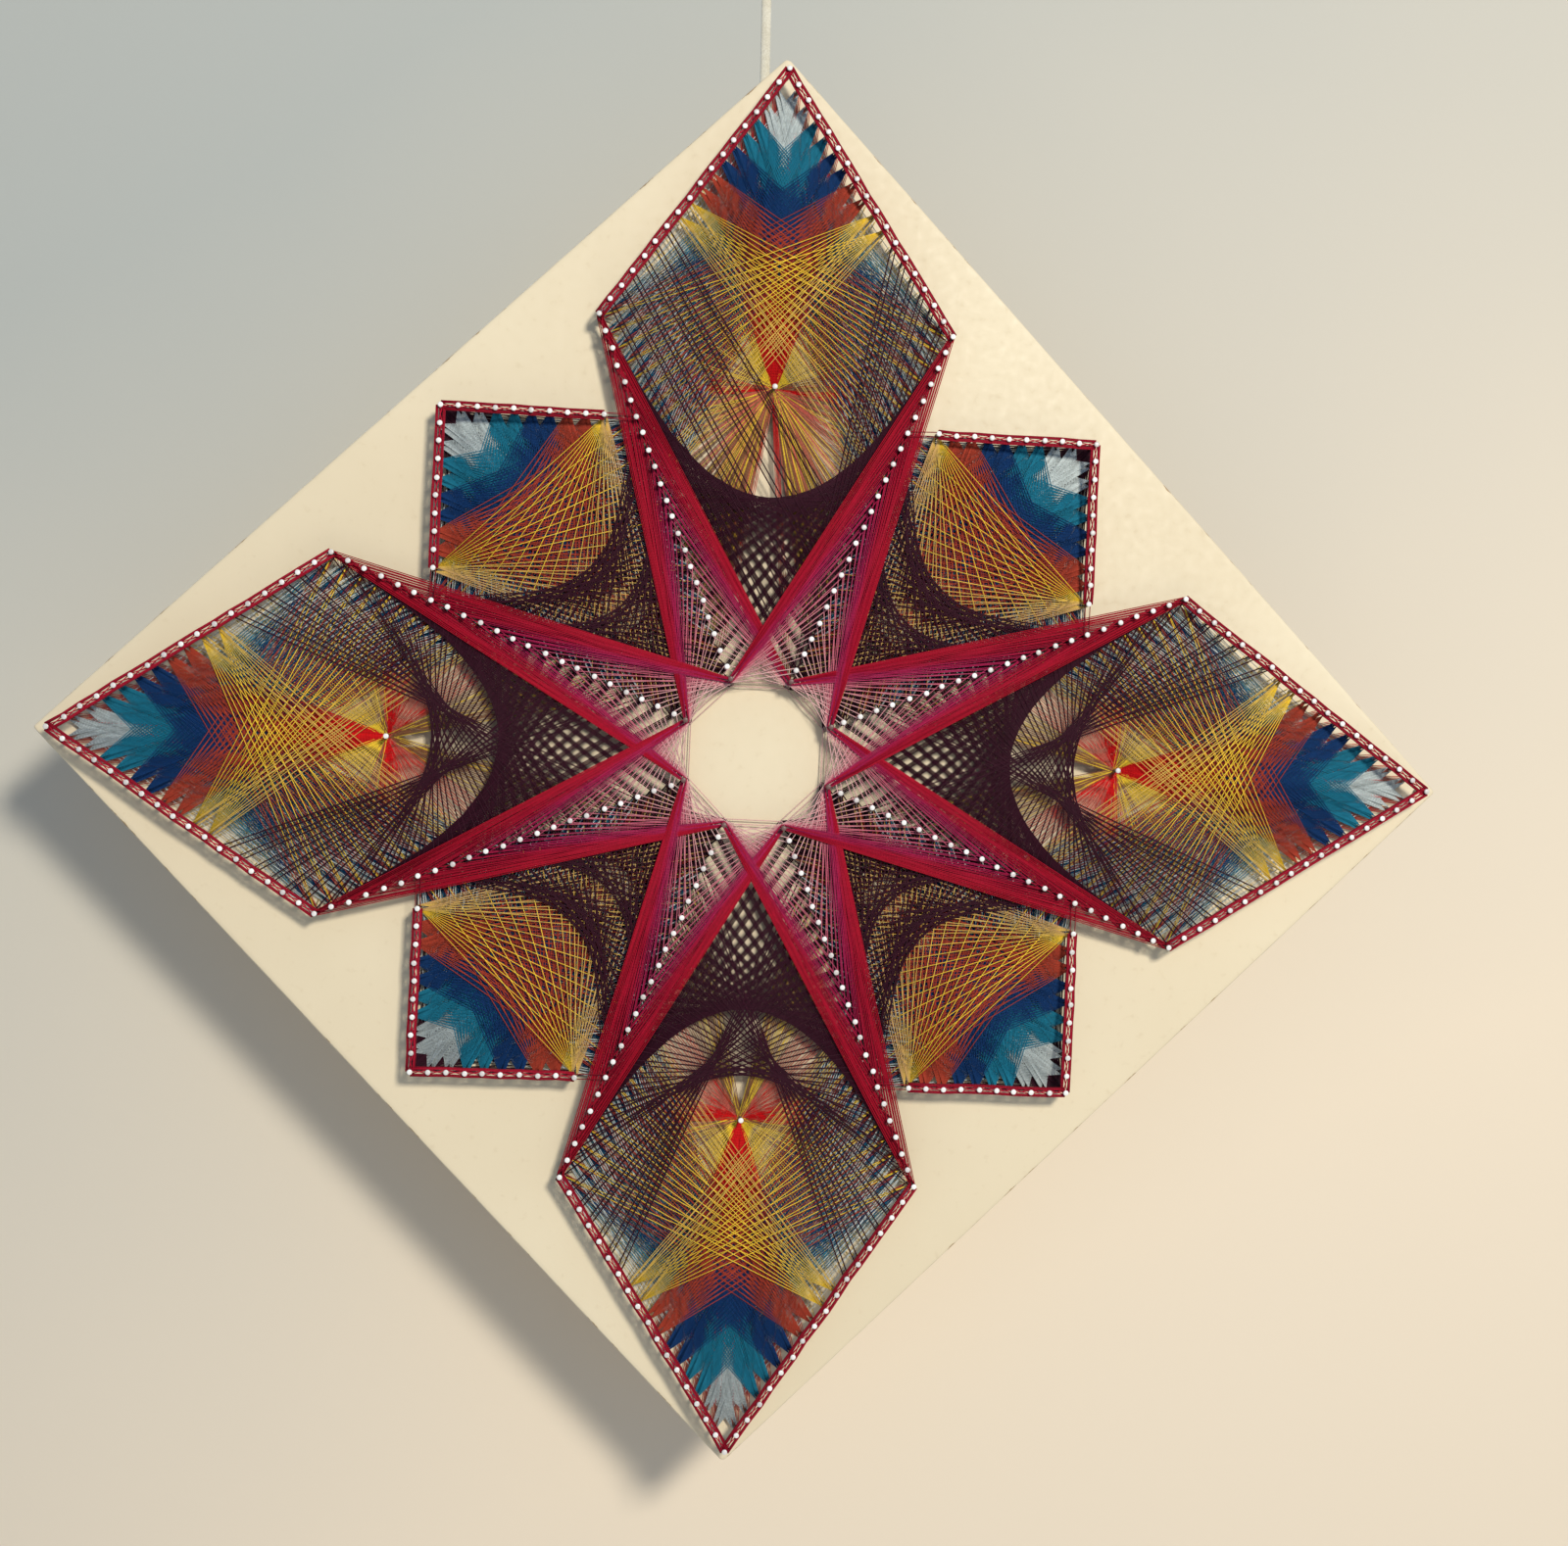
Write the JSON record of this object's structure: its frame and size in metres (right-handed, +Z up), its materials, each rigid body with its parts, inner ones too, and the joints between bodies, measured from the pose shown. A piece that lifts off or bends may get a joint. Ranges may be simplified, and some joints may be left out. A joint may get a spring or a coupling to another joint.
{
  "type": "string art panel",
  "caption": "Square painted board hung by one corner, with nailed rows wound with coloured thread into a star of long and square petals, on a strap hanger with cord.",
  "frame": {"origin": "centre of the board's back face, where the panel rests against the wall", "axes": "+Z up along the board's upright diagonal, +Y out of the back towards the wall, +X to the right as seen from the front, so the painted face looks along -Y"},
  "size_m": [0.5656, 0.0307, 0.6196],
  "materials": {
    "board_paint": "wooden board brushed with matt cream paint",
    "nail_steel": "small bright wire nails",
    "thread_white": "white sewing thread",
    "thread_teal": "teal sewing thread",
    "thread_blue": "dark blue sewing thread",
    "thread_rust": "rust red sewing thread",
    "thread_yellow": "golden yellow sewing thread",
    "thread_plum": "near-black plum sewing thread",
    "thread_star": "crimson sewing thread",
    "thread_border": "red sewing thread",
    "hanger_steel": "zinc-plated steel",
    "cord_cotton": "flat cream cotton cord"
  },
  "bodies": {
    "panel": {"board": "board_paint", "nails_top": "nail_steel", "nails_right": "nail_steel", "nails_bottom": "nail_steel", "nails_left": "nail_steel", "nails_upper_right": "nail_steel", "nails_lower_right": "nail_steel", "nails_lower_left": "nail_steel", "nails_upper_left": "nail_steel", "centre_nail_top": "nail_steel", "centre_nail_right": "nail_steel", "centre_nail_bottom": "nail_steel", "centre_nail_left": "nail_steel", "white_thread_top": "thread_white", "white_thread_right": "thread_white", "white_thread_bottom": "thread_white", "white_thread_left": "thread_white", "teal_thread_top": "thread_teal", "teal_thread_right": "thread_teal", "teal_thread_bottom": "thread_teal", "teal_thread_left": "thread_teal", "blue_thread_top": "thread_blue", "blue_thread_right": "thread_blue", "blue_thread_bottom": "thread_blue", "blue_thread_left": "thread_blue", "rust_thread_top": "thread_rust", "rust_thread_right": "thread_rust", "rust_thread_bottom": "thread_rust", "rust_thread_left": "thread_rust", "yellow_thread_top": "thread_yellow", "yellow_thread_right": "thread_yellow", "yellow_thread_bottom": "thread_yellow", "yellow_thread_left": "thread_yellow", "plum_thread_top": "thread_plum", "plum_thread_right": "thread_plum", "plum_thread_bottom": "thread_plum", "plum_thread_left": "thread_plum", "red_border_top": "thread_border", "red_border_right": "thread_border", "red_border_bottom": "thread_border", "red_border_left": "thread_border", "red_border_upper_right": "thread_border", "red_border_lower_right": "thread_border", "red_border_lower_left": "thread_border", "red_border_upper_left": "thread_border", "star_arm_1": "thread_star", "star_arm_2": "thread_star", "star_arm_3": "thread_star", "star_arm_4": "thread_star", "star_arm_5": "thread_star", "star_arm_6": "thread_star", "star_arm_7": "thread_star", "star_arm_8": "thread_star", "hanger_strap": "hanger_steel", "hanger_screw_lower": "hanger_steel", "hanger_screw_upper": "hanger_steel"},
    "ring": {"hanger_ring": "hanger_steel", "hanging_cord": "cord_cotton", "hanging_loop": "cord_cotton"}
  },
  "joints": [
    {"name": "ring_swing", "type": "hinge", "parent": "panel", "child": "ring", "pos_m": [-0.0072, 0.0029, 0.23684], "axis": [-1, 0, 0], "range_deg": [0, 150]}
  ]
}
